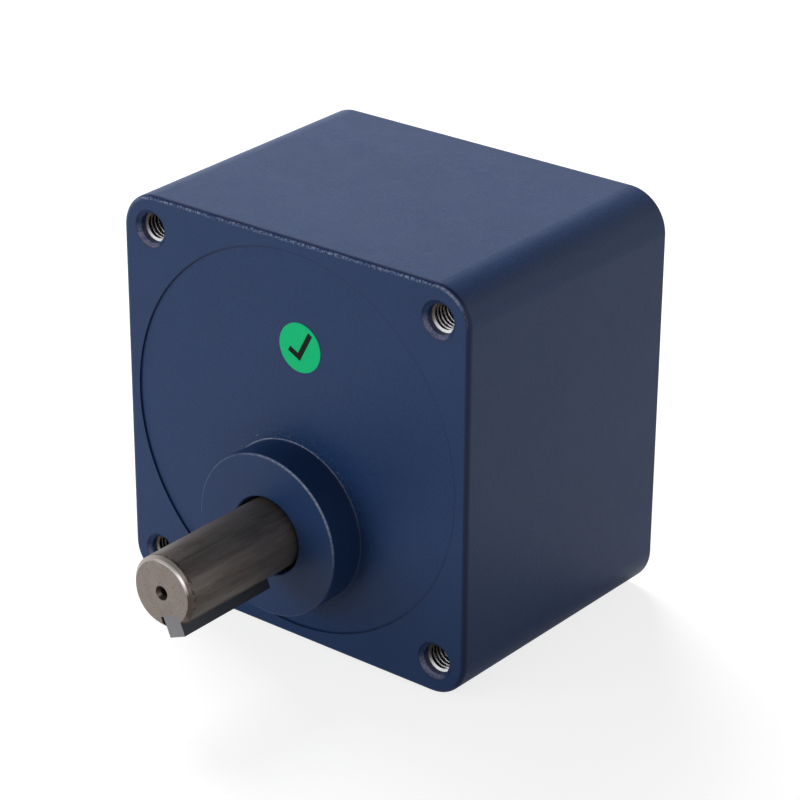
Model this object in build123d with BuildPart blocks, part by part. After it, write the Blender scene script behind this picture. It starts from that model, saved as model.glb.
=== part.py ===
from build123d import *
import os
from math import atan, atan2, cos, degrees, hypot, pi, radians, sin, sqrt, tan

# A brushless gear motor: a square cast housing with a three-stage spur gear train in
# front and a brushless motor behind it. Millimetres. The front face looks along -Y, +Z is up,
# and the origin is on the output shaft's axis in the plane of the front face.

# Driving dimensions of the housing
front_w = 110.0
draft_deg = 0.75
housing_depth = 81.0
corner_r = 10.0
front_edge_r = 1.2
rear_edge_r = 0.6
axis_drop = 22.0
front_wall = 9.0
recess_d = 103.0
recess_depth = 0.5
chamber_wall = 7.0
bore_step = 1.0

# Tapped corner holes: a countersink, a plain lead, then rings of the thread's own pitch
hole_circle_d = 130.0
thread_d = 8.0
thread_bore_d = 6.7
thread_pitch = 1.25
thread_lead = 1.5
thread_depth = 16.0
drill_past_thread = 3.0
countersink_d = 10.0

# Round boss, lip and oil seal in front of the output bearing
boss_d = 44.0
boss_h = 10.0
boss_edge = 0.3
lip_bore_d = 21.0
lip_len = 2.5
seal_d = 32.0
seal_w = 5.0
seal_sheet = 0.9
seal_spring_d = 1.2
seal_web = 1.55

# Output shaft and its key
shaft_d = 19.0
shaft_reach = 38.5
shaft_chamfer = 1.1
centre_mouth_d = 3.8
centre_drill_d = 2.5
centre_cone_deg = 60.0
centre_depth = 5.0
keyway_w = 6.2
key_w = 5.2
key_h = 5.5
keyway_depth = 3.5
key_length = 31.5
key_end_room = 0.3
key_turn_deg = 203.0
output_collar_d = 25.0
output_gear_seat_d = 22.0
output_neck_d = 16.0
output_gear_key_w = 6.0
output_gear_key_h = 6.0

# Gear train: one pressure angle, three modules
pressure_deg = 25.0
backlash = 0.12
pinion_teeth = 12
first_module = 0.8
first_teeth = 48
second_module = 1.0
second_teeth = 42
output_module = 1.25
output_teeth = 38
second_shaft_x = 24.0
output_face_w = 9.0
second_face_w = 8.0
first_face_w = 6.0
mesh_overhang = 0.5
gear_gap = 1.5
second_seat_d = 11.0
second_neck_d = 10.0
first_seat_d = 9.2
first_neck_d = 10.0
shoulder = 0.9
spacer_wall = 1.4
second_key_w = 4.0
second_key_h = 4.0
first_key_w = 3.0
first_key_h = 3.0

# Ball bearings, as bore, outer diameter and width
output_front_bearing = (20.0, 37.0, 9.0)
output_rear_bearing = (15.0, 24.0, 5.0)
second_bearing = (8.0, 19.0, 6.0)
first_bearing = (8.0, 16.0, 5.0)
motor_front_bearing = (10.0, 22.0, 6.0)
motor_rear_bearing = (8.0, 22.0, 7.0)
ring_share = 0.3
ball_share = 0.29
ball_room = 0.05
ball_spacing = 1.35
bearing_edge = 0.25

# Gear plate, which carries the shafts' rear bearings
plate_t = 8.0
hub_wall = 3.0
hub_rise = 5.5
hub_floor = 2.0
pillar_d = 10.0
pillar_wall_inset = 4.5
screw_pillar_angles = (32.0, 148.0, 212.0, 315.0)
dowel_pillar_angles = (100.0, 182.0)
dowel_pillar_d = 8.0
dowel_wall_inset = 3.5
dowel_d = 4.0
dowel_len = 10.0
screw_d = 4.0
screw_head_d = 7.0
screw_head_h = 4.0
screw_socket_w = 3.0
screw_socket_depth = 2.0
plate_screw_grip = 12.0
hole_room = 0.2

# Retaining rings
ring_t = 1.2
ring_groove_depth = 0.6
ring_width = 2.6
ring_mouth = 5.0
ring_room = 0.1

# Brushless motor
slots = 12
poles = 8
coil_overhang = 5.0
insulator_t = 1.0
tooth_w = 7.0
yoke_t = 7.0
shoe_t = 2.0
slot_mouth_w = 1.8
air_gap = 0.6
stator_bore_d = 56.0
magnet_t = 3.0
magnet_share = 0.88
sleeve_t = 0.35
rotor_bore_d = 14.0
rotor_window_d = 5.0
rotor_window_ring_d = 31.0
coil_t = 4.0
coil_corner_r = 3.2
coil_room = 1.0
rotor_end_room = 0.5
plate_to_coils = 2.0

# Hall board behind the rotor
board_d = 58.5
board_bore_d = 31.0
board_t = 1.6
board_gap = 2.0
sensor_w = 4.0
sensor_h = 3.0
sensor_t = 1.4
sensor_ring_d = 51.0
sensor_angles = (120.0, 150.0, 180.0)
board_post_d = 4.4
board_post_ring_d = 44.0
board_post_angles = (200.0, 270.0, 340.0)
board_screw_d = 2.0
board_screw_head_d = 3.8
board_screw_head_h = 1.1

# Rear cover, its gasket and the plug socket
cover_wall = 5.0
cover_skin = 2.0
pocket_corner_r = 5.5
cover_t = 4.5
gasket_t = 0.5
cover_gap = 0.15
cover_screw_inset = 8.0
cover_screw_len = 15.0
cover_csk_d = 7.8
spigot_wall = 2.5
bearing_back_room = 1.0
socket_w = 16.0
socket_h = 9.0
socket_wall = 1.0
socket_lift = 24.0
socket_floor_t = 1.5
pin_w = 0.8
pin_pitch = 2.5
pin_rows = 2
pins_per_row = 4
pin_reach = 2.8

# Round label on the recess floor
label_d = 13.1
label_t = 0.12
label_x = 2.9
label_lift = 26.7

# Clearances shared by the fits
seat_gap = 0.02
running_gap = 0.05
face_gap = 0.05

# Places along the shafts, counted back from the front face
seal_start = -boss_h + lip_len
output_bearing_start = seal_start + seal_w
output_bearing_end = output_bearing_start + output_front_bearing[2]
output_gear_start = front_wall + gear_gap
output_gear_end = output_gear_start + output_face_w
second_gear_start = output_gear_end + mesh_overhang + ring_t + shoulder
second_gear_end = second_gear_start + second_face_w
first_gear_start = second_gear_end + mesh_overhang + gear_gap / 2
first_gear_end = first_gear_start + first_face_w
plate_start = first_gear_end + gear_gap
plate_end = plate_start + plate_t
hub_end = plate_end + hub_rise
coil_start = plate_end + plate_to_coils
stack_start = coil_start + coil_overhang
cover_floor = housing_depth - cover_t - gasket_t
cover_start = cover_floor + gasket_t
coil_end = cover_start - board_gap
stack_end = coil_end - coil_overhang

# Shaft axes in the front view, from the gears' centre distances
box_z = axis_drop
motor_x = 0.0
motor_z = box_z
first_distance = first_module * (pinion_teeth + first_teeth) / 2
second_distance = second_module * (pinion_teeth + second_teeth) / 2
output_distance = output_module * (pinion_teeth + output_teeth) / 2
second_x = second_shaft_x
second_z = sqrt(output_distance**2 - second_x**2)


def crossing(x1, z1, reach1, x2, z2, reach2):
    """Upper point at one distance from each of two axes."""
    apart = hypot(x2 - x1, z2 - z1)
    along = (reach1**2 - reach2**2 + apart**2) / (2 * apart)
    aside = sqrt(reach1**2 - along**2)
    ux, uz = (x2 - x1) / apart, (z2 - z1) / apart
    return x1 + along * ux - aside * uz, z1 + along * uz + aside * ux


first_x, first_z = crossing(
    motor_x, motor_z, first_distance, second_x, second_z, second_distance
)

# Worked-out sizes
rear_w = front_w + 2 * housing_depth * tan(radians(draft_deg))
rear_corner_r = corner_r + (rear_w - front_w) / 2
hole_spacing = hole_circle_d / sqrt(2)
gear_bore_r = front_w / 2 - chamber_wall
plate_r = gear_bore_r + bore_step
stator_r = plate_r + bore_step
pocket_w = front_w + 2 * cover_floor * tan(radians(draft_deg)) - 2 * cover_wall
cover_screw_at = pocket_w / 2 - cover_screw_inset
shaft_tip = -boss_h - shaft_reach
rotor_r = stator_bore_d / 2 - air_gap
magnet_r = rotor_r - sleeve_t
core_r = magnet_r - magnet_t
rotor_start = stack_start + rotor_end_room
rotor_end = stack_end
motor_bearing_start = plate_start + output_rear_bearing[2] + hub_floor
motor_bearing_end = motor_bearing_start + motor_front_bearing[2]
cover_bearing_end = housing_depth - cover_skin - bearing_back_room
cover_bearing_start = cover_bearing_end - motor_rear_bearing[2]
board_start = stack_end + board_gap


def level(y, x=0.0, z=0.0, turn=0.0):
    """Plane facing the front at depth y, its own up turned counter-clockwise about (x, z)."""
    across = (cos(radians(turn)), 0, sin(radians(turn)))
    return Plane(origin=(x, y, z), x_dir=across, z_dir=(0, -1, 0))


def half_section(x, z):
    """Plane through a shaft's axis: its first axis runs to the rear, its second outwards."""
    return Plane(origin=(x, 0, z), x_dir=(0, 1, 0), z_dir=(1, 0, 0))


def rear_level(y, x=0.0, z=0.0):
    """Plane facing the rear at depth y."""
    return Plane(origin=(x, y, z), x_dir=(-1, 0, 0), z_dir=(0, 1, 0))


def spin_axis(x, z):
    return Axis((x, 0, z), (0, 1, 0))


def polar(reach, angle):
    return reach * cos(radians(angle)), reach * sin(radians(angle))


def save(piece, name):
    """Labels a finished piece and writes it."""
    piece.label = name
    export_step(piece, f"parts/{name}.step")


def turned(outline, x=0.0, z=0.0):
    """Piece turned from corners given as (depth, radius)."""
    with BuildPart() as piece:
        with BuildSketch(half_section(x, z)):
            with BuildLine():
                Polyline(*outline, close=True)
            make_face()
        revolve(axis=spin_axis(x, z))
    return piece.part


def stepped(steps):
    """Corners of a stepped shaft from (start, end, radius) runs laid end to end."""
    corners = [(steps[0][0], 0.0)]
    for start, end, radius in steps:
        if corners[-1] != (start, radius):
            corners.append((start, radius))
        corners.append((end, radius))
    corners.append((steps[-1][1], 0.0))
    return corners


def collar(x, z, start, end, inner_r, outer_r):
    """Plain ring between two depths."""
    return turned([(start, inner_r), (end, inner_r), (end, outer_r), (start, outer_r)], x, z)


def bar(x, z, turn, start, end, low, high, width, shift=0.0):
    """Straight bar beside a shaft: from low to high above its axis, in the turned direction."""
    with BuildPart() as piece:
        with BuildSketch(level(start, x, z, turn)):
            with Locations((shift, (low + high) / 2)):
                Rectangle(width, high - low)
        extrude(amount=start - end)
    return piece.part


def gear_blank(teeth, module, x, z, phase, start, end):
    """Involute gear with one tooth centred at the phase angle, in degrees."""
    pitch_r = teeth * module / 2
    base_r = pitch_r * cos(radians(pressure_deg))
    tip_r = pitch_r + module
    root_r = pitch_r - 1.25 * module
    flank_r = max(base_r, root_r)
    middle_r = (flank_r + tip_r) / 2

    def roll(radius):
        """Involute of the pressure angle at a radius."""
        tangent = sqrt(max((radius / base_r) ** 2 - 1, 0))
        return tangent - atan(tangent)

    def half_tooth(radius):
        at_pitch = pi / (2 * teeth) - backlash / (4 * pitch_r)
        return at_pitch + roll(pitch_r) - roll(radius)

    def point(radius, angle):
        return radius * cos(angle), radius * sin(angle)

    step = 2 * pi / teeth
    with BuildPart() as piece:
        with BuildSketch(level(start, x, z)):
            with BuildLine():
                for tooth in range(teeth):
                    middle = radians(phase) + tooth * step
                    root_half = half_tooth(flank_r)
                    low, high = middle - root_half, middle + root_half
                    if flank_r > root_r:
                        Line(point(root_r, low), point(flank_r, low))
                    ThreePointArc(
                        point(flank_r, low),
                        point(middle_r, middle - half_tooth(middle_r)),
                        point(tip_r, middle - half_tooth(tip_r)),
                    )
                    ThreePointArc(
                        point(tip_r, middle - half_tooth(tip_r)),
                        point(tip_r, middle),
                        point(tip_r, middle + half_tooth(tip_r)),
                    )
                    ThreePointArc(
                        point(tip_r, middle + half_tooth(tip_r)),
                        point(middle_r, middle + half_tooth(middle_r)),
                        point(flank_r, high),
                    )
                    if flank_r > root_r:
                        Line(point(flank_r, high), point(root_r, high))
                    ThreePointArc(
                        point(root_r, high),
                        point(root_r, middle + step / 2),
                        point(root_r, middle + step - root_half),
                    )
            make_face()
        extrude(amount=start - end)
    return piece.part


def meshed_phase(phase, teeth, x, z, other_teeth, other_x, other_z):
    """Phase of a second gear that puts its gap at the first gear's tooth."""
    toward = degrees(atan2(other_z - z, other_x - x))
    passed = ((toward - phase) / (360 / teeth)) % 1
    return toward + 180 - (0.5 - passed) * 360 / other_teeth


def bearing(size, x, z, start):
    """Outer ring, balls and inner ring of a ball bearing."""
    bore, outer, width = size
    bore_r, outer_r = bore / 2 + seat_gap, outer / 2 - seat_gap
    section = outer_r - bore_r
    ball_ring_r = (outer_r + bore_r) / 2
    ball_r = ball_share * section
    thickness = ring_share * section
    middle = start + width / 2
    made = []
    for ring_r in (outer_r - thickness / 2, bore_r + thickness / 2):
        with BuildPart() as ring:
            with BuildSketch(half_section(x, z)) as outline:
                with Locations((middle, ring_r)):
                    Rectangle(width, thickness)
                chamfer(outline.vertices(), bearing_edge)
                with Locations((middle, ball_ring_r)):
                    Circle(ball_r + ball_room, mode=Mode.SUBTRACT)
            revolve(axis=spin_axis(x, z))
        made.append(ring.part)
    count = int(2 * pi * ball_ring_r / (2 * ball_r * ball_spacing))
    with BuildPart(level(middle, x, z)) as balls:
        with PolarLocations(ball_ring_r, count):
            Sphere(ball_r)
    return made[0], balls.part, made[1]


os.makedirs("parts", exist_ok=True)

# Housing: drafted square block with the gear chamber and the motor chamber bored from the rear
box = (motor_x, box_z)
screw_pillar_r = gear_bore_r - pillar_wall_inset
dowel_pillar_r = gear_bore_r - dowel_wall_inset
screw_spots = [polar(screw_pillar_r, angle) for angle in screw_pillar_angles]
dowel_spots = [polar(dowel_pillar_r, angle) for angle in dowel_pillar_angles]

with BuildPart() as corner_hole:
    thread_r = thread_d / 2
    thread_bore_r = thread_bore_d / 2
    countersink_depth = countersink_d / 2 - thread_r
    crest = thread_pitch / 8
    hole_end = thread_depth + drill_past_thread
    outline = [(-boss_edge, 0), (-boss_edge, countersink_d / 2), (0, countersink_d / 2)]
    outline += [(countersink_depth, thread_r)]
    thread_start = countersink_depth + thread_lead
    turns = int((thread_depth - thread_start) / thread_pitch)
    for turn in range(turns):
        root = thread_start + turn * thread_pitch
        outline += [(root + crest, thread_r)]
        outline += [(root + thread_pitch / 2 - crest, thread_bore_r)]
        outline += [(root + thread_pitch / 2 + crest, thread_bore_r)]
        outline += [(root + thread_pitch - crest, thread_r)]
    thread_end = thread_start + turns * thread_pitch
    outline += [(thread_end, thread_r), (thread_end + crest, thread_bore_r)]
    outline += [(hole_end, thread_bore_r), (hole_end + thread_bore_r / 2, 0)]
    with BuildSketch(half_section(0, 0)):
        with BuildLine():
            Polyline(*outline, close=True)
        make_face()
    revolve(axis=spin_axis(0, 0))

with BuildPart() as housing:
    with BuildSketch(level(0, *box)):
        RectangleRounded(front_w, front_w, corner_r)
    with BuildSketch(level(housing_depth, *box)):
        RectangleRounded(rear_w, rear_w, rear_corner_r)
    loft(ruled=True)
    fillet(housing.edges().group_by(Axis.Y)[0], front_edge_r)
    fillet(housing.edges().group_by(Axis.Y)[-1], rear_edge_r)
    with BuildSketch(level(0, *box)):
        Circle(recess_d / 2)
    extrude(amount=-recess_depth, mode=Mode.SUBTRACT)
    with BuildSketch(level(recess_depth)):
        Circle(boss_d / 2)
    extrude(amount=recess_depth + boss_h)
    chamfer(housing.edges().group_by(Axis.Y)[0], boss_edge)
    with BuildSketch(level(front_wall, *box)):
        Circle(gear_bore_r)
        with Locations(*screw_spots):
            Circle(pillar_d / 2, mode=Mode.SUBTRACT)
        with Locations(*dowel_spots):
            Circle(dowel_pillar_d / 2, mode=Mode.SUBTRACT)
    extrude(amount=front_wall - plate_start, mode=Mode.SUBTRACT)
    with BuildSketch(level(plate_start, *box)):
        Circle(plate_r)
    extrude(amount=plate_start - stack_start, mode=Mode.SUBTRACT)
    with BuildSketch(level(stack_start, *box)):
        Circle(stator_r)
    extrude(amount=stack_start - cover_floor, mode=Mode.SUBTRACT)
    with BuildSketch(level(cover_floor, *box)):
        RectangleRounded(pocket_w, pocket_w, pocket_corner_r)
    extrude(amount=cover_floor - housing_depth, mode=Mode.SUBTRACT)
    ring_groove_start = output_bearing_end + ring_room
    ring_groove_end = ring_groove_start + ring_t + ring_room
    pocket_bore_r = output_front_bearing[1] / 2
    with BuildSketch(half_section(0, 0)):
        with BuildLine():
            Polyline(
                (-boss_h - boss_edge, 0),
                (-boss_h - boss_edge, lip_bore_d / 2 + boss_edge),
                (-boss_h, lip_bore_d / 2 + boss_edge),
                (-boss_h + boss_edge, lip_bore_d / 2),
                (seal_start, lip_bore_d / 2),
                (seal_start, seal_d / 2),
                (output_bearing_start, seal_d / 2),
                (output_bearing_start, pocket_bore_r),
                (ring_groove_start, pocket_bore_r),
                (ring_groove_start, pocket_bore_r + ring_groove_depth),
                (ring_groove_end, pocket_bore_r + ring_groove_depth),
                (ring_groove_end, pocket_bore_r),
                (front_wall, pocket_bore_r),
                (front_wall, 0),
                close=True,
            )
        make_face()
    revolve(axis=spin_axis(0, 0), mode=Mode.SUBTRACT)
    for size, x, z in ((second_bearing, second_x, second_z), (first_bearing, first_x, first_z)):
        with BuildSketch(level(front_wall, x, z)):
            Circle(size[1] / 2)
        extrude(amount=size[2], mode=Mode.SUBTRACT)
    with BuildSketch(level(plate_start, *box)):
        with Locations(*screw_spots):
            Circle(screw_d / 2)
    extrude(amount=plate_screw_grip, mode=Mode.SUBTRACT)
    with BuildSketch(level(plate_start, *box)):
        with Locations(*dowel_spots):
            Circle(dowel_d / 2)
    extrude(amount=dowel_len / 2, mode=Mode.SUBTRACT)
    with BuildSketch(level(cover_floor, *box)):
        with GridLocations(2 * cover_screw_at, 2 * cover_screw_at, 2, 2):
            Circle(screw_d / 2)
    extrude(amount=cover_screw_len, mode=Mode.SUBTRACT)
    for across in (-hole_spacing / 2, hole_spacing / 2):
        for up in (-hole_spacing / 2, hole_spacing / 2):
            with Locations((across, 0, box_z + up)):
                add(corner_hole.part, mode=Mode.SUBTRACT)
save(housing.part, "housing")

with BuildPart() as label:
    with BuildSketch(level(recess_depth, label_x, box_z + label_lift)):
        Circle(label_d / 2)
    extrude(amount=label_t)
save(label.part, "round_label")

# Oil seal between the lip and the output bearing
seal_front = seal_start + running_gap
seal_rear = output_bearing_start - running_gap
seal_r = seal_d / 2 - seat_gap
seal_inner_r = seal_r - seal_sheet
rubber_front = seal_front + seal_sheet
lip_r = shaft_d / 2 + running_gap
seal_waist_r = lip_bore_d / 2 + seal_sheet
spring_r = seal_spring_d / 2
spring_seat = rubber_front + seal_web
save(
    turned(
        [
            (seal_front, lip_bore_d / 2 + seal_sheet),
            (rubber_front, lip_bore_d / 2 + seal_sheet),
            (rubber_front, seal_inner_r),
            (seal_rear, seal_inner_r),
            (seal_rear, seal_r),
            (seal_front, seal_r),
        ]
    ),
    "seal_case",
)
save(
    turned(
        [
            (rubber_front + seat_gap, lip_bore_d / 2),
            (rubber_front + seat_gap, seal_inner_r - seat_gap),
            (spring_seat, seal_inner_r - seat_gap),
            (spring_seat, seal_waist_r),
            (seal_rear - seal_sheet / 2, seal_waist_r),
            (seal_rear - seal_sheet / 2, lip_bore_d / 2),
            (spring_seat + seal_sheet, lip_r),
            (spring_seat, lip_r),
        ]
    ),
    "seal_lip",
)
with BuildPart() as garter_spring:
    with BuildSketch(half_section(0, 0)):
        with Locations((spring_seat + spring_r + seat_gap, seal_waist_r + spring_r + seat_gap)):
            Circle(spring_r)
    revolve(axis=spin_axis(0, 0))
save(garter_spring.part, "seal_garter_spring")

with BuildPart() as bore_ring:
    groove_r = output_front_bearing[1] / 2 + ring_groove_depth - seat_gap
    with BuildSketch(level(ring_groove_start + ring_room / 2)):
        Circle(groove_r)
        Circle(groove_r - ring_width, mode=Mode.SUBTRACT)
        with Locations((0, -groove_r)):
            Rectangle(ring_mouth, 3 * ring_width, mode=Mode.SUBTRACT)
    extrude(amount=-ring_t)
save(bore_ring.part, "bearing_retaining_ring")

# Ball bearings of the output shaft and the motor, each in three pieces
for name, size, x, z, start in (
    ("output_front_bearing", output_front_bearing, 0, 0, output_bearing_start),
    ("output_rear_bearing", output_rear_bearing, 0, 0, plate_start),
    ("motor_front_bearing", motor_front_bearing, motor_x, motor_z, motor_bearing_start),
    ("motor_rear_bearing", motor_rear_bearing, motor_x, motor_z, cover_bearing_start),
):
    outer, balls, inner = bearing(size, x, z, start)
    save(outer, f"{name}_outer_ring")
    save(balls, f"{name}_balls")
    save(inner, f"{name}_inner_ring")

# Layshaft bearings, a front and a rear one alike, each kind of piece in one group
for name, size, x, z in (
    ("second_shaft", second_bearing, second_x, second_z),
    ("first_shaft", first_bearing, first_x, first_z),
):
    front = bearing(size, x, z, front_wall - size[2])
    rear = bearing(size, x, z, plate_start)
    for index, kind in enumerate(("outer_rings", "balls", "inner_rings")):
        with BuildPart() as group:
            add(front[index])
            add(rear[index])
        save(group.part, f"{name}_bearing_{kind}")

# Gear plate: pockets for the gear shafts in front, a hub for the motor bearing behind
with BuildPart() as gear_plate:
    with BuildSketch(level(plate_start, *box)):
        Circle(plate_r - seat_gap)
    extrude(amount=-plate_t)
    with BuildSketch(level(plate_end, *box)):
        Circle(motor_front_bearing[1] / 2 + hub_wall)
    extrude(amount=-hub_rise)
    for size, x, z in (
        (output_rear_bearing, 0, 0),
        (second_bearing, second_x, second_z),
        (first_bearing, first_x, first_z),
    ):
        with BuildSketch(level(plate_start, x, z)):
            Circle(size[1] / 2)
        extrude(amount=-size[2], mode=Mode.SUBTRACT)
    with BuildSketch(level(plate_start, *box)):
        Circle(first_module * (pinion_teeth + 2) / 2 + shoulder)
    extrude(amount=plate_start - motor_bearing_start, mode=Mode.SUBTRACT)
    with BuildSketch(level(motor_bearing_start, *box)):
        Circle(motor_front_bearing[1] / 2)
    extrude(amount=motor_bearing_start - hub_end, mode=Mode.SUBTRACT)
    with BuildSketch(level(plate_start, *box)):
        with Locations(*screw_spots):
            Circle(screw_d / 2 + hole_room)
    extrude(amount=-plate_t, mode=Mode.SUBTRACT)
    with BuildSketch(level(plate_end, *box)):
        with Locations(*screw_spots):
            Circle(screw_head_d / 2 + hole_room)
    extrude(amount=screw_head_h, mode=Mode.SUBTRACT)
    with BuildSketch(level(plate_start, *box)):
        with Locations(*dowel_spots):
            Circle(dowel_d / 2)
    extrude(amount=-dowel_len / 2, mode=Mode.SUBTRACT)
save(gear_plate.part, "gear_plate")

with BuildPart() as plate_screws:
    head_floor = plate_end - screw_head_h
    with BuildSketch(level(head_floor, *box)):
        with Locations(*screw_spots):
            Circle(screw_head_d / 2)
    extrude(amount=-screw_head_h)
    with BuildSketch(level(head_floor, *box)):
        with Locations(*screw_spots):
            Circle(screw_d / 2 - seat_gap)
    extrude(amount=head_floor - plate_start + plate_screw_grip - hole_room)
    with BuildSketch(level(plate_end, *box)):
        with Locations(*screw_spots):
            RegularPolygon(screw_socket_w / 2, 6, major_radius=False)
    extrude(amount=screw_socket_depth, mode=Mode.SUBTRACT)
save(plate_screws.part, "gear_plate_screws")

with BuildPart() as dowels:
    with BuildSketch(level(plate_start + dowel_len / 2 - running_gap, *box)):
        with Locations(*dowel_spots):
            Circle(dowel_d / 2 - seat_gap)
    extrude(amount=dowel_len - 2 * running_gap)
save(dowels.part, "gear_plate_dowels")

# Output shaft, stepped up to a collar and down again, with an open keyway at its free end
shaft_r = shaft_d / 2
front_seat_r = output_front_bearing[0] / 2
rear_seat_r = output_rear_bearing[0] / 2
gear_seat_r = output_gear_seat_d / 2
ring_start = output_gear_end + face_gap
ring_end = ring_start + ring_t + ring_room
output_seat_end = ring_end + shoulder / 2
key_floor = shaft_r - keyway_depth
key_shift = (key_w - keyway_w) / 2 + seat_gap

with BuildPart() as output_shaft:
    corners = stepped(
        [
            (shaft_tip + shaft_chamfer, seal_rear + running_gap / 2, shaft_r),
            (seal_rear + running_gap / 2, output_bearing_end + ring_room, front_seat_r),
            (output_bearing_end + ring_room, output_gear_start, output_collar_d / 2),
            (output_gear_start, ring_start, gear_seat_r),
            (ring_start, ring_end, gear_seat_r - ring_groove_depth),
            (ring_end, output_seat_end, gear_seat_r),
            (output_seat_end, plate_start - face_gap, output_neck_d / 2),
            (plate_start - face_gap, plate_start + output_rear_bearing[2] - face_gap, rear_seat_r),
        ]
    )
    corners[0] = (shaft_tip, 0.0)
    corners.insert(1, (shaft_tip, shaft_r - shaft_chamfer))
    add(turned(corners))
    drill_r = centre_drill_d / 2
    mouth_r = centre_mouth_d / 2
    cone_len = (mouth_r - drill_r) / tan(radians(centre_cone_deg / 2))
    add(
        turned(
            [
                (shaft_tip, 0),
                (shaft_tip, mouth_r),
                (shaft_tip + cone_len, drill_r),
                (shaft_tip + centre_depth, drill_r),
                (shaft_tip + centre_depth + drill_r / 2, 0),
            ]
        ),
        mode=Mode.SUBTRACT,
    )
    keyway_end = shaft_tip + key_length + key_end_room
    add(
        bar(0, 0, key_turn_deg, shaft_tip, keyway_end, key_floor, shaft_d, keyway_w),
        mode=Mode.SUBTRACT,
    )
    inner_key_floor = gear_seat_r - output_gear_key_h / 2
    add(
        bar(0, 0, 0, output_gear_start, output_gear_end, inner_key_floor, shaft_d, output_gear_key_w),
        mode=Mode.SUBTRACT,
    )
save(output_shaft.part, "output_shaft")

save(
    bar(
        0,
        0,
        key_turn_deg,
        shaft_tip,
        shaft_tip + key_length,
        key_floor + seat_gap,
        key_floor + seat_gap + key_h,
        key_w,
        shift=key_shift,
    ),
    "output_key",
)

with BuildPart() as output_ring:
    with BuildSketch(level(ring_start + ring_room / 2)):
        Circle(gear_seat_r - ring_groove_depth + seat_gap + ring_width)
        Circle(gear_seat_r - ring_groove_depth + seat_gap, mode=Mode.SUBTRACT)
        with Locations((0, -gear_seat_r)):
            Rectangle(ring_mouth, 3 * ring_width, mode=Mode.SUBTRACT)
    extrude(amount=-ring_t)
save(output_ring.part, "output_gear_retaining_ring")


def keyed_gear(teeth, module, x, z, phase, start, end, bore_r, width, height):
    """Gear with its bore and the keyway over a key sunk half its height into the shaft."""
    with BuildPart() as piece:
        add(gear_blank(teeth, module, x, z, phase, start, end))
        with BuildSketch(level(start, x, z)):
            Circle(bore_r + seat_gap)
            with Locations((0, bore_r / 2)):
                Rectangle(width + 2 * seat_gap, bore_r + height + 2 * hole_room)
        extrude(amount=start - end, mode=Mode.SUBTRACT)
    return piece.part


def sunk_key(x, z, start, end, bore_r, width, height):
    """Key half in the shaft and half in the gear."""
    floor = bore_r - height / 2 + seat_gap
    return bar(x, z, 0, start, end, floor, floor + height, width - 2 * seat_gap)


output_phase = 0.0
save(
    keyed_gear(
        output_teeth,
        output_module,
        0,
        0,
        output_phase,
        output_gear_start,
        output_gear_end,
        gear_seat_r,
        output_gear_key_w,
        output_gear_key_h,
    ),
    "output_gear",
)
save(
    sunk_key(0, 0, output_gear_start, output_gear_end, gear_seat_r, output_gear_key_w, output_gear_key_h),
    "output_gear_key",
)

# Second layshaft: its pinion turns the output gear, its gear is turned by the first layshaft
second_pinion_phase = meshed_phase(
    output_phase, output_teeth, 0, 0, pinion_teeth, second_x, second_z
)
second_pinion_start = output_gear_start - mesh_overhang
second_pinion_end = output_gear_end + mesh_overhang
second_seat_r = second_seat_d / 2
second_neck_r = second_neck_d / 2
second_front = front_wall - second_bearing[2]
second_rear = plate_start + second_bearing[2]
with BuildPart() as second_shaft:
    add(
        turned(
            stepped(
                [
                    (second_front + face_gap, front_wall + face_gap, second_bearing[0] / 2),
                    (front_wall + face_gap, second_pinion_start, second_neck_r),
                    (second_pinion_start, second_pinion_end, second_neck_r),
                    (second_pinion_end, second_gear_start, second_seat_r + shoulder),
                    (second_gear_start, second_gear_end, second_seat_r),
                    (second_gear_end, plate_start - face_gap, second_neck_r),
                    (plate_start - face_gap, second_rear - face_gap, second_bearing[0] / 2),
                ]
            ),
            second_x,
            second_z,
        )
    )
    add(
        gear_blank(
            pinion_teeth,
            output_module,
            second_x,
            second_z,
            second_pinion_phase,
            second_pinion_start,
            second_pinion_end,
        )
    )
    add(
        bar(
            second_x,
            second_z,
            0,
            second_gear_start,
            second_gear_end,
            second_seat_r - second_key_h / 2,
            second_seat_d,
            second_key_w,
        ),
        mode=Mode.SUBTRACT,
    )
save(second_shaft.part, "second_shaft")

second_phase = 0.0
save(
    keyed_gear(
        second_teeth,
        second_module,
        second_x,
        second_z,
        second_phase,
        second_gear_start + face_gap,
        second_gear_end,
        second_seat_r,
        second_key_w,
        second_key_h,
    ),
    "second_gear",
)
save(
    sunk_key(
        second_x,
        second_z,
        second_gear_start + face_gap,
        second_gear_end,
        second_seat_r,
        second_key_w,
        second_key_h,
    ),
    "second_gear_key",
)
save(
    collar(
        second_x,
        second_z,
        second_gear_end + face_gap,
        plate_start - face_gap,
        second_neck_r + seat_gap,
        second_neck_r + spacer_wall,
    ),
    "second_shaft_spacer",
)

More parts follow.
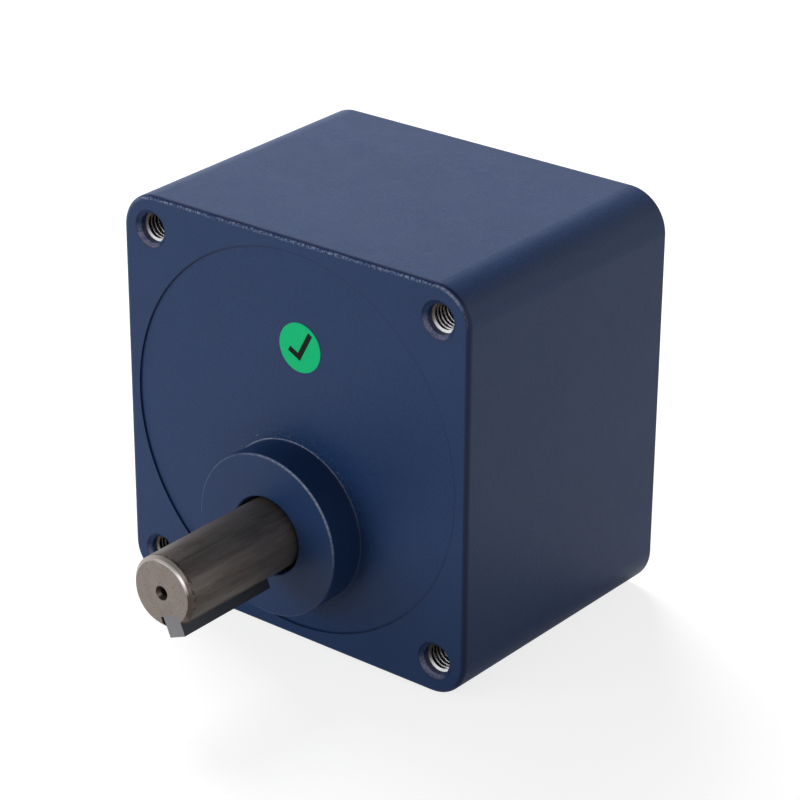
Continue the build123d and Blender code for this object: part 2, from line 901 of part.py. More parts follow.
# First layshaft, between the second one and the motor's pinion
first_pinion_phase = meshed_phase(
    second_phase, second_teeth, second_x, second_z, pinion_teeth, first_x, first_z
)
first_pinion_start = second_gear_start - mesh_overhang
first_pinion_end = second_gear_end + mesh_overhang
first_seat_r = first_seat_d / 2
first_front = front_wall - first_bearing[2]
first_rear = plate_start + first_bearing[2]
with BuildPart() as first_shaft:
    add(
        turned(
            stepped(
                [
                    (first_front + face_gap, front_wall + face_gap, first_bearing[0] / 2),
                    (front_wall + face_gap, first_pinion_start, first_neck_d / 2),
                    (first_pinion_start, first_gear_end, first_seat_r),
                    (first_gear_end, first_rear - face_gap, first_bearing[0] / 2),
                ]
            ),
            first_x,
            first_z,
        )
    )
    add(
        gear_blank(
            pinion_teeth,
            second_module,
            first_x,
            first_z,
            first_pinion_phase,
            first_pinion_start,
            first_pinion_end,
        )
    )
    add(
        bar(
            first_x,
            first_z,
            0,
            first_gear_start,
            first_gear_end,
            first_seat_r - first_key_h / 2,
            first_seat_d,
            first_key_w,
        ),
        mode=Mode.SUBTRACT,
    )
save(first_shaft.part, "first_shaft")

first_phase = 0.0
save(
    keyed_gear(
        first_teeth,
        first_module,
        first_x,
        first_z,
        first_phase,
        first_gear_start,
        first_gear_end,
        first_seat_r,
        first_key_w,
        first_key_h,
    ),
    "first_gear",
)
save(
    sunk_key(
        first_x,
        first_z,
        first_gear_start,
        first_gear_end,
        first_seat_r,
        first_key_w,
        first_key_h,
    ),
    "first_gear_key",
)
save(
    collar(
        first_x,
        first_z,
        first_gear_end + face_gap,
        plate_start - face_gap,
        first_bearing[0] / 2 + seat_gap,
        first_bearing[0] / 2 + spacer_wall,
    ),
    "first_shaft_spacer",
)

# Motor shaft, with the first pinion cut on its front end
motor_pinion_phase = meshed_phase(
    first_phase, first_teeth, first_x, first_z, pinion_teeth, motor_x, motor_z
)
motor_pinion_start = first_gear_start - mesh_overhang
motor_pinion_end = first_gear_end + mesh_overhang
motor_neck_r = motor_rear_bearing[0] / 2
rotor_seat_r = rotor_bore_d / 2
with BuildPart() as motor_shaft:
    pinion_root_r = first_module * (pinion_teeth - 2.5) / 2
    add(
        turned(
            stepped(
                [
                    (motor_pinion_start, motor_pinion_end, pinion_root_r),
                    (motor_pinion_end, motor_bearing_start, motor_neck_r),
                    (motor_bearing_start, motor_bearing_end + face_gap, motor_front_bearing[0] / 2),
                    (motor_bearing_end + face_gap, rotor_start - face_gap, rotor_seat_r + shoulder),
                    (rotor_start - face_gap, rotor_end, rotor_seat_r),
                    (rotor_end, cover_bearing_start - face_gap, motor_front_bearing[0] / 2),
                    (cover_bearing_start - face_gap, cover_bearing_end - face_gap, motor_neck_r),
                ]
            ),
            *box,
        )
    )
    add(
        gear_blank(
            pinion_teeth,
            first_module,
            motor_x,
            motor_z,
            motor_pinion_phase,
            motor_pinion_start,
            motor_pinion_end,
        )
    )
save(motor_shaft.part, "motor_shaft")

# Rotor: core, surface magnets and their retaining sleeve
with BuildPart() as rotor_core:
    with BuildSketch(level(rotor_start, *box)):
        Circle(core_r - seat_gap)
        Circle(rotor_seat_r + seat_gap, mode=Mode.SUBTRACT)
        with PolarLocations(rotor_window_ring_d / 2, poles):
            Circle(rotor_window_d / 2, mode=Mode.SUBTRACT)
    extrude(amount=rotor_start - rotor_end)
save(rotor_core.part, "rotor_core")

with BuildPart() as magnets:
    magnet_outer_r = magnet_r - seat_gap
    gap_w = (1 - magnet_share) * 2 * pi * magnet_outer_r / poles
    with BuildSketch(level(rotor_start, *box)):
        Circle(magnet_outer_r)
        Circle(core_r + seat_gap, mode=Mode.SUBTRACT)
        with PolarLocations(core_r + magnet_t / 2, poles, start_angle=180 / poles):
            Rectangle(2 * magnet_t, gap_w, mode=Mode.SUBTRACT)
    extrude(amount=rotor_start - rotor_end)
save(magnets.part, "rotor_magnets")
save(collar(*box, rotor_start, rotor_end, magnet_r, rotor_r), "magnet_sleeve")

# Stator: laminated core, end insulators and one coil on each tooth
tooth_root_r = stator_r - yoke_t
shoe_r = stator_bore_d / 2


def stator_outline(outer_r, tooth_width, with_shoes):
    """Yoke and teeth, drawn in the sketch that is open."""
    Circle(outer_r)
    Circle(tooth_root_r, mode=Mode.SUBTRACT)
    with PolarLocations((shoe_r + stator_r) / 2 - shoe_t / 2, slots):
        Rectangle(stator_r - shoe_r - shoe_t, tooth_width)
    if with_shoes:
        Circle(shoe_r + shoe_t)
    Circle(shoe_r, mode=Mode.SUBTRACT)
    if with_shoes:
        with PolarLocations(shoe_r + shoe_t / 2, slots, start_angle=180 / slots):
            Rectangle(2 * shoe_t, slot_mouth_w, mode=Mode.SUBTRACT)


with BuildPart() as stator_core:
    with BuildSketch(level(stack_start + face_gap, *box)):
        stator_outline(stator_r - seat_gap, tooth_w, True)
    extrude(amount=stack_start + face_gap - stack_end)
save(stator_core.part, "stator_core")

with BuildPart() as insulators:
    for face, way in ((stack_start, 1), (stack_end, -1)):
        with BuildSketch(level(face, *box)):
            Circle(stator_r - yoke_t / 2)
            Circle(tooth_root_r, mode=Mode.SUBTRACT)
            with PolarLocations((shoe_r + stator_r) / 2 - yoke_t / 4, slots):
                Rectangle(stator_r - shoe_r - yoke_t / 2, tooth_w)
            Circle(shoe_r + shoe_t / 2, mode=Mode.SUBTRACT)
        extrude(amount=way * (insulator_t - face_gap))
save(insulators.part, "stator_insulators")

with BuildPart() as coils:
    coil_inner_r = shoe_r + shoe_t + coil_room
    coil_outer_r = tooth_root_r - coil_room
    coil_middle = (coil_start + coil_end) / 2
    coil_hole_w = tooth_w + hole_room
    coil_hole_h = stack_end - stack_start + 2 * insulator_t
    for tooth in range(slots):
        angle = tooth * 360 / slots
        across, up = polar(coil_inner_r, angle)
        outward = (cos(radians(angle)), 0, sin(radians(angle)))
        foot = Plane(
            origin=(motor_x + across, coil_middle, box_z + up), x_dir=(0, 1, 0), z_dir=outward
        )
        with BuildSketch(foot):
            RectangleRounded(coil_end - coil_start, coil_hole_w + 2 * coil_t, coil_corner_r)
            Rectangle(coil_hole_h, coil_hole_w, mode=Mode.SUBTRACT)
        extrude(amount=coil_outer_r - coil_inner_r)
save(coils.part, "stator_coils")

# Rear cover, with the motor's rear bearing in its hub and posts for the hall board
post_spots = [polar(board_post_ring_d / 2, angle) for angle in board_post_angles]
cover_w = pocket_w - 2 * cover_gap
hub_front = cover_bearing_start - running_gap
with BuildPart() as rear_cover:
    with BuildSketch(level(cover_start, *box)):
        RectangleRounded(cover_w, cover_w, pocket_corner_r - cover_gap)
    extrude(amount=-cover_t)
    chamfer(rear_cover.edges().group_by(Axis.Y)[-1], rear_edge_r / 2)
    with BuildSketch(level(cover_start, *box)):
        Circle(stator_r - cover_gap)
        Circle(stator_r - cover_gap - spigot_wall, mode=Mode.SUBTRACT)
    extrude(amount=cover_start - stack_end - running_gap)
    with BuildSketch(level(cover_start, *box)):
        Circle(motor_rear_bearing[1] / 2 + hub_wall)
    extrude(amount=cover_start - hub_front)
    with BuildSketch(level(cover_start, *box)):
        with Locations(*post_spots):
            Circle(board_post_d / 2)
    extrude(amount=cover_start - board_start - board_t)
    with BuildSketch(level(hub_front, *box)):
        Circle(motor_rear_bearing[1] / 2)
    extrude(amount=hub_front - cover_bearing_end - bearing_back_room, mode=Mode.SUBTRACT)
    with BuildSketch(level(board_start, *box)):
        with Locations(*post_spots):
            Circle(board_screw_d / 2)
    extrude(amount=board_start - cover_start, mode=Mode.SUBTRACT)
    with BuildSketch(level(cover_start, motor_x, box_z + socket_lift)):
        RectangleRounded(socket_w + 2 * seat_gap, socket_h + 2 * seat_gap, socket_wall)
    extrude(amount=-cover_t, mode=Mode.SUBTRACT)
    with Locations(rear_level(housing_depth, *box)):
        with GridLocations(2 * cover_screw_at, 2 * cover_screw_at, 2, 2):
            CounterSinkHole(screw_d / 2 + hole_room, cover_csk_d / 2 + hole_room)
save(rear_cover.part, "rear_cover")

with BuildPart() as gasket:
    with BuildSketch(level(cover_floor + face_gap / 2, *box)):
        RectangleRounded(cover_w, cover_w, pocket_corner_r - cover_gap)
        Circle(stator_r, mode=Mode.SUBTRACT)
        with GridLocations(2 * cover_screw_at, 2 * cover_screw_at, 2, 2):
            Circle(screw_d / 2 + hole_room, mode=Mode.SUBTRACT)
    extrude(amount=face_gap - gasket_t)
save(gasket.part, "rear_cover_gasket")

with BuildPart() as cover_screws:
    head_r = cover_csk_d / 2
    shank_r = screw_d / 2 - seat_gap
    for across in (-cover_screw_at, cover_screw_at):
        for up in (-cover_screw_at, cover_screw_at):
            add(
                turned(
                    [
                        (housing_depth - cover_screw_len, 0),
                        (housing_depth - cover_screw_len, shank_r),
                        (housing_depth - (head_r - shank_r), shank_r),
                        (housing_depth, head_r),
                        (housing_depth, 0),
                    ],
                    across,
                    box_z + up,
                )
            )
    with BuildSketch(level(housing_depth, *box)):
        with GridLocations(2 * cover_screw_at, 2 * cover_screw_at, 2, 2):
            RegularPolygon(screw_socket_w / 2, 6, major_radius=False)
    extrude(amount=screw_socket_depth, mode=Mode.SUBTRACT)
save(cover_screws.part, "rear_cover_screws")

with BuildPart() as wave_spring:
    back_end = cover_bearing_end + bearing_back_room
    spring_outer_r = motor_rear_bearing[1] / 2 - ring_room
    with BuildSketch(level(cover_bearing_end + face_gap, *box)):
        Circle(spring_outer_r)
        Circle(spring_outer_r - ring_width, mode=Mode.SUBTRACT)
    extrude(amount=cover_bearing_end + 2 * face_gap - back_end)
save(wave_spring.part, "bearing_preload_spring")

# Hall board with its sensors facing the magnets
with BuildPart() as hall_board:
    pin_spots = [
        (
            (column - (pins_per_row - 1) / 2) * pin_pitch,
            socket_lift + (row - (pin_rows - 1) / 2) * pin_pitch,
        )
        for row in range(pin_rows)
        for column in range(pins_per_row)
    ]
    with BuildSketch(level(board_start, *box)):
        Circle(board_d / 2)
        Circle(board_bore_d / 2, mode=Mode.SUBTRACT)
        with Locations(*post_spots):
            Circle(board_screw_d / 2 + hole_room / 2, mode=Mode.SUBTRACT)
        with Locations(*pin_spots):
            Rectangle(pin_w + ring_room, pin_w + ring_room, mode=Mode.SUBTRACT)
    extrude(amount=running_gap - board_t)
save(hall_board.part, "hall_board")

with BuildPart() as sensors:
    for angle in sensor_angles:
        across, up = polar(sensor_ring_d / 2, angle)
        with BuildSketch(level(board_start - seat_gap, motor_x + across, box_z + up, angle - 90)):
            Rectangle(sensor_w, sensor_h)
        extrude(amount=sensor_t)
save(sensors.part, "hall_sensors")

with BuildPart() as board_screws:
    with BuildSketch(level(board_start - seat_gap, *box)):
        with Locations(*post_spots):
            Circle(board_screw_head_d / 2)
    extrude(amount=board_screw_head_h)
    with BuildSketch(level(board_start - seat_gap, *box)):
        with Locations(*post_spots):
            Circle(board_screw_d / 2 - seat_gap)
    extrude(amount=board_start - cover_start + hole_room)
save(board_screws.part, "hall_board_screws")

# Plug socket set flush in the rear cover, its pins soldered to the hall board
socket_front = board_start + board_t + board_gap / 4
with BuildPart() as socket:
    with BuildSketch(level(socket_front, motor_x, box_z + socket_lift)):
        RectangleRounded(socket_w, socket_h, socket_wall)
    extrude(amount=socket_front - housing_depth)
    with BuildSketch(level(socket_front + socket_floor_t, motor_x, box_z + socket_lift)):
        Rectangle(socket_w - 2 * socket_wall, socket_h - 2 * socket_wall)
    extrude(amount=socket_front + socket_floor_t - housing_depth, mode=Mode.SUBTRACT)
    with BuildSketch(level(socket_front, *box)):
        with Locations(*pin_spots):
            Rectangle(pin_w + seat_gap, pin_w + seat_gap)
    extrude(amount=-socket_floor_t, mode=Mode.SUBTRACT)
save(socket.part, "plug_socket")

with BuildPart() as pins:
    with BuildSketch(level(board_start - board_screw_head_h / 2, *box)):
        with Locations(*pin_spots):
            Rectangle(pin_w, pin_w)
    extrude(
        amount=board_start - board_screw_head_h / 2 - socket_front - socket_floor_t - pin_reach
    )
save(pins.part, "plug_pins")
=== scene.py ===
import bmesh
import bpy
from math import cos, pi, radians, sin
from mathutils import Matrix, Vector


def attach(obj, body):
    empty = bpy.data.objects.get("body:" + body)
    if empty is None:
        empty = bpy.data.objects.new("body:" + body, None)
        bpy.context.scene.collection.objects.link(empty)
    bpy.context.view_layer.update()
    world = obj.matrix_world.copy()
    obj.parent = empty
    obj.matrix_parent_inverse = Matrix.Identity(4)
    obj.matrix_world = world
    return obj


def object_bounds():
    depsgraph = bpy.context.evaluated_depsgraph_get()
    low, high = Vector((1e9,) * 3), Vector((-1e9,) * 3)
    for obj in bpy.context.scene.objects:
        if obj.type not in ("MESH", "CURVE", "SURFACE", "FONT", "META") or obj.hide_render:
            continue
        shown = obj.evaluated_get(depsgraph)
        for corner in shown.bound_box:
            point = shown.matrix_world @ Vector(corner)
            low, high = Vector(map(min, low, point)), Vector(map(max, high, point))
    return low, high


# A brushless gear motor in a square powder-coated housing, seen from its front right corner.
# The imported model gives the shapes; this script gives the finishes, the printed label, the
# light and the camera. Metres, with the front face at y = 0 and the output shaft on the Y axis.

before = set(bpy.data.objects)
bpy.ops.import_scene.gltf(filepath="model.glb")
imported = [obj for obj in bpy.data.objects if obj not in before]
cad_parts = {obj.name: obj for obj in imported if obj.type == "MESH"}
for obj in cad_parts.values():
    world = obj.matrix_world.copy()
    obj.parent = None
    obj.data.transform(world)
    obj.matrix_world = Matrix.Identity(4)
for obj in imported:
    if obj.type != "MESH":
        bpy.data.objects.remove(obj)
cad_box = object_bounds()

MM = 0.001
# Sizes that the finishes follow, in millimetres. Front face: height of its middle above the
# shaft, half its width, radius of its corners and of its round recess
face_z, front_half, corner_r, step_r = 22.0, 55.0, 10.0, 51.5
top_z = face_z + front_half
box_centre = Vector((0, 0, face_z * MM))
# Inside of the housing, bare metal: how far in from the outline it starts, and its front and
# rear; and how far back the wear of the front may reach
inside_in, inside_front, inside_rear, worn_depth = 2.0, 3.0, 80.5, 40.0
# Tapped corner holes: distance from the middle each way, mouth, thread, and start of the thread
hole_at, countersink_r, thread_r, thread_start = 45.96, 5.0, 4.0, 2.5
# Boss: its radius and front, and the radius and length of the lip in front of the seal
boss_r, boss_front, lip_r, lip_length = 22.0, -10.0, 10.5, 2.5
# Output shaft: its radius and tip, chamfer and centre hole
shaft_r, shaft_tip, shaft_chamfer, centre_hole_r = 9.5, -48.5, 1.1, 1.9


def linear(code):
    """An sRGB hex colour as linear red, green, blue and alpha."""
    shares = [int(code[i : i + 2], 16) / 255 for i in (0, 2, 4)]
    return tuple(s / 12.92 if s <= 0.04045 else ((s + 0.055) / 1.055) ** 2.4 for s in shares) + (1,)


def node(tree, kind, sockets=None, **settings):
    """Adds a shader node with its settings and links; a node given is linked by its first output."""
    made = tree.nodes.new("ShaderNode" + kind)
    for setting, value in settings.items():
        setattr(made, setting, value)
    for socket, value in (sockets or {}).items():
        if isinstance(value, bpy.types.Node):
            value = value.outputs[0]
        if isinstance(value, bpy.types.NodeSocket):
            tree.links.new(value, made.inputs[socket])
        else:
            made.inputs[socket].default_value = value
    return made


def new_finish(name):
    """An empty material, its node tree, and its object coordinates in millimetres."""
    material = bpy.data.materials.new(name)
    material.use_nodes = True
    tree = material.node_tree
    tree.nodes.clear()
    place = node(tree, "TexCoord").outputs["Object"]
    return material, tree, node(tree, "VectorMath", {0: place, "Scale": 1 / MM}, operation="SCALE")


# Camera, from a fit of the housing's outline, holes, boss and shaft to the photograph
azimuth, elevation, roll = radians(38.28), radians(24.95), radians(0.35)
camera_reach, camera_right, camera_up = 718.7 * MM, 27.28 * MM, 10.79 * MM
focal_px, picture_px = 2874.4, 800
back = Vector((sin(azimuth) * cos(elevation), -cos(azimuth) * cos(elevation), sin(elevation)))
level_right = Vector((cos(azimuth), sin(azimuth), 0))
level_up = back.cross(level_right)
right = level_right * cos(roll) + level_up * sin(roll)
up = level_up * cos(roll) - level_right * sin(roll)
seat = box_centre + back * camera_reach + right * camera_right + up * camera_up
lens = bpy.data.cameras.new("studio_camera")
lens.sensor_width = 36
lens.lens = focal_px / picture_px * lens.sensor_width
lens.clip_start, lens.clip_end = 0.01, 50
camera = bpy.data.objects.new("studio_camera", lens)
bpy.context.collection.objects.link(camera)
turn = Matrix((right, up, back)).transposed().to_4x4()
camera.matrix_world = Matrix.Translation(seat) @ turn
bpy.context.scene.camera = camera

# Studio: soft lamps over the back left, low at the front left and low at the back right
for name, spot, width, rise, watts in (
    ("top_lamp", (-1.05, 0.7, 1.2), 1.0, 1.0, 38.0),
    ("front_lamp", (-0.9, -1.4, 0.42), 1.6, 0.8, 15.5),
    ("side_lamp", (1.2, 0.9, 0.15), 0.8, 0.3, 1.8),
):
    lamp = bpy.data.lights.new(name, "AREA")
    lamp.shape, lamp.size, lamp.size_y, lamp.energy = "RECTANGLE", width, rise, watts
    holder = bpy.data.objects.new(name, lamp)
    bpy.context.collection.objects.link(holder)
    aim = (box_centre - Vector(spot)).to_track_quat("-Z", "Y").to_matrix().to_4x4()
    holder.matrix_world = Matrix.Translation(spot) @ aim
    holder.visible_camera = holder.visible_glossy = False

# Air of the studio: white behind the object, and in gloss a pale room with a darker ceiling
# and one softbox high at the front right
world = bpy.data.worlds.new("studio_air")
world.use_nodes = True
bpy.context.scene.world = world
air = world.node_tree
air.nodes.clear()
ray = node(air, "LightPath")
way = node(air, "TexCoord").outputs["Generated"]
height = node(air, "SeparateXYZ", {0: way}).outputs["Z"]
ceiling = node(air, "MapRange", {"Value": height, 1: 0.4, 2: 0.66, 3: 1.05, 4: 0.15})
toward = node(
    air, "VectorMath", {0: way, 1: (0.6, -0.52, 0.61)}, operation="DOT_PRODUCT"
).outputs["Value"]
softbox = node(
    air,
    "MapRange",
    {"Value": toward, 1: 0.92, 2: 0.96, 3: 0.0, 4: 2.2},
    interpolation_type="SMOOTHSTEP",
)
shine = node(air, "Math", {0: ceiling, 1: softbox}, operation="ADD")
seen = node(
    air,
    "Math",
    {0: ray.outputs["Is Camera Ray"], 1: ray.outputs["Is Transmission Ray"]},
    operation="MAXIMUM",
)
soft = node(air, "Background", {"Color": linear("FFFFFF"), "Strength": 0.2})
room = node(air, "Background", {"Color": linear("FFFFFF"), "Strength": shine})
white = node(air, "Background", {"Color": linear("FFFFFF"), "Strength": 1.0})
mirrored = node(air, "MixShader", {0: ray.outputs["Is Glossy Ray"], 1: soft, 2: room})
shown = node(air, "MixShader", {0: seen, 1: mirrored, 2: white})
node(air, "OutputWorld", {"Surface": shown})

# White backdrop paper: matt, with a faint fibre, lit from within only for the eye and in gloss
bpy.ops.object.select_all(action="DESELECT")
bpy.ops.mesh.primitive_plane_add(size=12, location=(0, 0, cad_box[0].z))
floor = bpy.context.object
floor.name = "studio_floor"
paper, tree, in_mm = new_finish("white_backdrop_paper")
ray = node(tree, "LightPath")
seen = node(
    tree,
    "Math",
    {0: ray.outputs["Is Camera Ray"], 1: ray.outputs["Is Transmission Ray"]},
    operation="MAXIMUM",
)
glow = node(
    tree, "Math", {0: ray.outputs["Is Glossy Ray"], 1: 0.25, 2: seen}, operation="MULTIPLY_ADD"
)
glow = node(tree, "Math", {0: glow, 1: 0.8}, operation="MULTIPLY")
fibre = node(tree, "TexNoise", {"Vector": in_mm, "Scale": 1 / 3.0})
fibre = node(tree, "Math", {0: fibre, 1: 0.01, 2: 0.66}, operation="MULTIPLY_ADD")
fibre = node(tree, "Math", {0: glow, 1: -0.45, 2: fibre}, operation="MULTIPLY_ADD")
matt = node(tree, "BsdfDiffuse", {"Color": fibre})
lit = node(tree, "Emission", {"Color": linear("FFFFFF"), "Strength": glow})
node(tree, "OutputMaterial", {"Surface": node(tree, "AddShader", {0: matt, 1: lit})})
floor.data.materials.append(paper)

# Polyester powder coat, baked on a shot-blasted casting: a satin skin with a fine orange peel
# and a grain like sandpaper, about 0.4 mm across. It carries painted shade on the step of the
# front, round the mouths of the holes and on the rounding of its outline, is rubbed pale on its
# sharp edges with painted highlights among the wear, and is absent inside the housing and in
# the threads, where metal shows
powder_coat, tree, in_mm = new_finish("satin_blue_powder_coat")
axes = node(tree, "SeparateXYZ", {0: in_mm}).outputs
depth = axes["Y"]
across = node(tree, "VectorMath", {0: in_mm, 1: (0, 0, -face_z)}, operation="ADD")
across = node(tree, "VectorMath", {0: across, 1: (1, 0, 1)}, operation="MULTIPLY")
from_centre = node(tree, "VectorMath", {0: across}, operation="LENGTH").outputs["Value"]
boss_across = node(tree, "VectorMath", {0: in_mm, 1: (1, 0, 1)}, operation="MULTIPLY")
from_boss = node(tree, "VectorMath", {0: boss_across}, operation="LENGTH").outputs["Value"]
quarter = node(tree, "VectorMath", {0: across}, operation="ABSOLUTE")
sides = node(tree, "VectorMath", {0: across}, operation="SIGN")
hole_centre = node(tree, "VectorMath", {0: sides, "Scale": hole_at}, operation="SCALE")
in_corner = node(tree, "VectorMath", {0: across, 1: hole_centre}, operation="SUBTRACT")
from_hole = node(tree, "VectorMath", {0: in_corner}, operation="LENGTH").outputs["Value"]
straight = front_half - corner_r
past = node(tree, "VectorMath", {0: quarter, 1: (straight, 0, straight)}, operation="SUBTRACT")
past = node(tree, "VectorMath", {0: past, 1: (0, 0, 0)}, operation="MAXIMUM")
past = node(tree, "VectorMath", {0: past}, operation="LENGTH").outputs["Value"]
outline = node(tree, "Math", {0: past, 1: corner_r}, operation="SUBTRACT")
in_front = node(tree, "MapRange", {"Value": depth, 1: worn_depth + 1.0, 2: worn_depth - 1.0})
grit = node(tree, "TexNoise", {"Vector": in_mm, "Scale": 1 / 0.4, "Detail": 2.0, "Roughness": 0.65})
chips = node(tree, "TexNoise", {"Vector": in_mm, "Scale": 1 / 0.6, "Detail": 3.0, "Roughness": 0.7})
specks = node(tree, "TexNoise", {"Vector": in_mm, "Scale": 1 / 1.3, "Detail": 2.0, "Roughness": 0.5})
patches = node(
    tree, "TexNoise", {"Vector": in_mm, "Scale": 1 / 5.0, "Detail": 3.0, "Roughness": 0.6}
)
clouds = node(tree, "TexNoise", {"Vector": in_mm, "Scale": 1 / 22.0, "Detail": 2.0})
chipped = node(tree, "MapRange", {"Value": chips, 1: 0.46, 2: 0.6}, interpolation_type="SMOOTHSTEP")
# Rubbed front outline with painted highlight, along the top and most round the upper right corner
edge = node(tree, "Math", {0: outline, 1: depth}, operation="ADD")
line = node(tree, "Math", {0: edge, 1: 0.45}, operation="ADD")
line = node(tree, "Math", {0: line}, operation="ABSOLUTE")
line = node(tree, "MapRange", {"Value": line, 1: 0.8, 2: 0.15}, interpolation_type="SMOOTHSTEP")
near_front = node(tree, "MapRange", {"Value": depth, 1: 1.2, 2: 0.8})
line = node(tree, "Math", {0: line, 1: near_front}, operation="MULTIPLY")
# Painted highlight round the upper right corner of the rounding
corner = node(
    tree, "VectorMath", {0: across, 1: (0.5, 0, 0.866)}, operation="DOT_PRODUCT"
).outputs["Value"]
corner = node(tree, "MapRange", {"Value": corner, 1: 69.3, 2: 70.8}, interpolation_type="SMOOTHSTEP")
broken = node(tree, "MapRange", {"Value": chips, 1: 0.36, 2: 0.64, 3: 0.3, 4: 1.0})
corner = node(tree, "Math", {0: corner, 1: broken}, operation="MULTIPLY")
rubs_and_highlight = node(tree, "MapRange", {"Value": patches, 1: 0.35, 2: 0.6, 3: 0.3, 4: 1.0})
rubs_and_highlight = node(tree, "Math", {0: rubs_and_highlight, 1: chipped}, operation="MULTIPLY")
rubs_and_highlight = node(tree, "Math", {0: rubs_and_highlight, 1: corner}, operation="MAXIMUM")
upper = node(
    tree, "MapRange", {"Value": axes["Z"], 1: 66.0, 2: 74.0}, interpolation_type="SMOOTHSTEP"
)
edge_wear_and_highlight = node(tree, "Math", {0: line, 1: rubs_and_highlight}, operation="MULTIPLY")
edge_wear_and_highlight = node(tree, "Math", {0: edge_wear_and_highlight, 1: upper}, operation="MULTIPLY")
# Painted shade on the rounding behind that line, and wider down the right side
painted_edge_shade = node(tree, "Math", {0: edge, 1: -0.75}, operation="ADD")
painted_edge_shade = node(tree, "Math", {0: painted_edge_shade}, operation="ABSOLUTE")
painted_edge_shade = node(
    tree, "MapRange", {"Value": painted_edge_shade, 1: 0.95, 2: 0.55}, interpolation_type="SMOOTHSTEP"
)
on_right = node(
    tree, "MapRange", {"Value": axes["X"], 1: 51.0, 2: 54.0}, interpolation_type="SMOOTHSTEP"
)
wide = node(tree, "Math", {0: edge, 1: -0.4}, operation="ADD")
wide = node(tree, "Math", {0: wide}, operation="ABSOLUTE")
wide = node(tree, "MapRange", {"Value": wide, 1: 1.5, 2: 0.9}, interpolation_type="SMOOTHSTEP")
wide = node(tree, "Math", {0: wide, 1: on_right}, operation="MULTIPLY")
painted_edge_shade = node(tree, "Math", {0: painted_edge_shade, 1: wide}, operation="MAXIMUM")
painted_edge_shade = node(tree, "Math", {0: painted_edge_shade, 1: 0.7}, operation="MULTIPLY")
# Rubbed rim of the boss with a painted highlight, and pale dust round its foot, most at the upper
# right
# Painted highlight weighted towards the upper right of the boss's rim
slant = node(
    tree, "VectorMath", {0: in_mm, 1: (0.6, 0, 0.8)}, operation="DOT_PRODUCT"
).outputs["Value"]
highlight_upper_right = node(tree, "MapRange", {"Value": slant, 1: 11.0, 2: 21.0, 3: 0.14, 4: 1.5})
rim = node(tree, "Math", {0: from_boss, 1: depth}, operation="ADD")
rim = node(tree, "Math", {0: rim, 1: boss_r + boss_front}, operation="SUBTRACT")
rim = node(tree, "Math", {0: rim}, operation="ABSOLUTE")
rim_wear_and_highlight = node(tree, "MapRange", {"Value": rim, 1: 0.7, 2: 0.1}, interpolation_type="SMOOTHSTEP")
on_rim = node(tree, "MapRange", {"Value": depth, 1: boss_front + 0.8, 2: boss_front + 0.4})
rim_wear_and_highlight = node(tree, "Math", {0: rim_wear_and_highlight, 1: on_rim}, operation="MULTIPLY")
rim_wear_and_highlight = node(tree, "Math", {0: rim_wear_and_highlight, 1: highlight_upper_right}, operation="MULTIPLY")
foot = node(tree, "Math", {0: from_boss, 1: boss_r + 0.1}, operation="SUBTRACT")
foot = node(tree, "Math", {0: foot}, operation="ABSOLUTE")
foot_wear = node(tree, "MapRange", {"Value": foot, 1: 0.3, 2: 0.06}, interpolation_type="SMOOTHSTEP")
at_foot = node(tree, "MapRange", {"Value": depth, 1: 0.2, 2: 0.4})
foot_wear = node(tree, "Math", {0: foot_wear, 1: at_foot}, operation="MULTIPLY")
upward = node(tree, "MapRange", {"Value": axes["Z"], 1: 2.0, 2: 18.0, 3: 0.3, 4: 1.3})
foot_wear = node(tree, "Math", {0: foot_wear, 1: upward}, operation="MULTIPLY")
wear_and_highlight = node(tree, "Math", {0: rim_wear_and_highlight, 1: foot_wear}, operation="ADD")
wear_and_highlight = node(tree, "Math", {0: wear_and_highlight, 1: broken}, operation="MULTIPLY")
dust = node(tree, "MapRange", {"Value": from_boss, 1: boss_r + 3.5, 2: boss_r + 0.2})
dust = node(tree, "Math", {0: dust, 1: at_foot}, operation="MULTIPLY")
dust = node(tree, "Math", {0: dust, 1: upward}, operation="MULTIPLY")
motes = node(tree, "MapRange", {"Value": grit, 1: 0.62, 2: 0.72})
dust = node(tree, "Math", {0: dust, 1: motes}, operation="MULTIPLY")
wear_and_highlight = node(tree, "Math", {0: wear_and_highlight, 1: dust}, operation="MAXIMUM")
wear_and_highlight = node(tree, "Math", {0: wear_and_highlight, 1: in_front}, operation="MULTIPLY")
wear_and_highlight = node(tree, "Math", {0: wear_and_highlight, 1: edge_wear_and_highlight}, operation="MAXIMUM")
wear_and_highlight = node(tree, "Math", {0: wear_and_highlight, 1: 0.62}, operation="MULTIPLY", use_clamp=True)
# Countersinks scuffed at their lower left by screws
crescent = node(
    tree, "VectorMath", {0: in_corner, 1: (-0.45, 0, -0.89)}, operation="DOT_PRODUCT"
).outputs["Value"]
crescent = node(
    tree, "MapRange", {"Value": crescent, 1: 1.0, 2: 3.8}, interpolation_type="SMOOTHSTEP"
)
in_mouth = node(
    tree, "MapRange", {"Value": from_hole, 1: countersink_r + 0.1, 2: countersink_r - 0.3}
)
crescent = node(tree, "Math", {0: crescent, 1: in_mouth}, operation="MULTIPLY")
scuff = node(tree, "MapRange", {"Value": chips, 1: 0.38, 2: 0.62, 3: 0.25, 4: 0.8})
scuffed = node(tree, "Math", {0: crescent, 1: scuff}, operation="MULTIPLY")
scuffed = node(tree, "Math", {0: scuffed, 1: in_front}, operation="MULTIPLY")
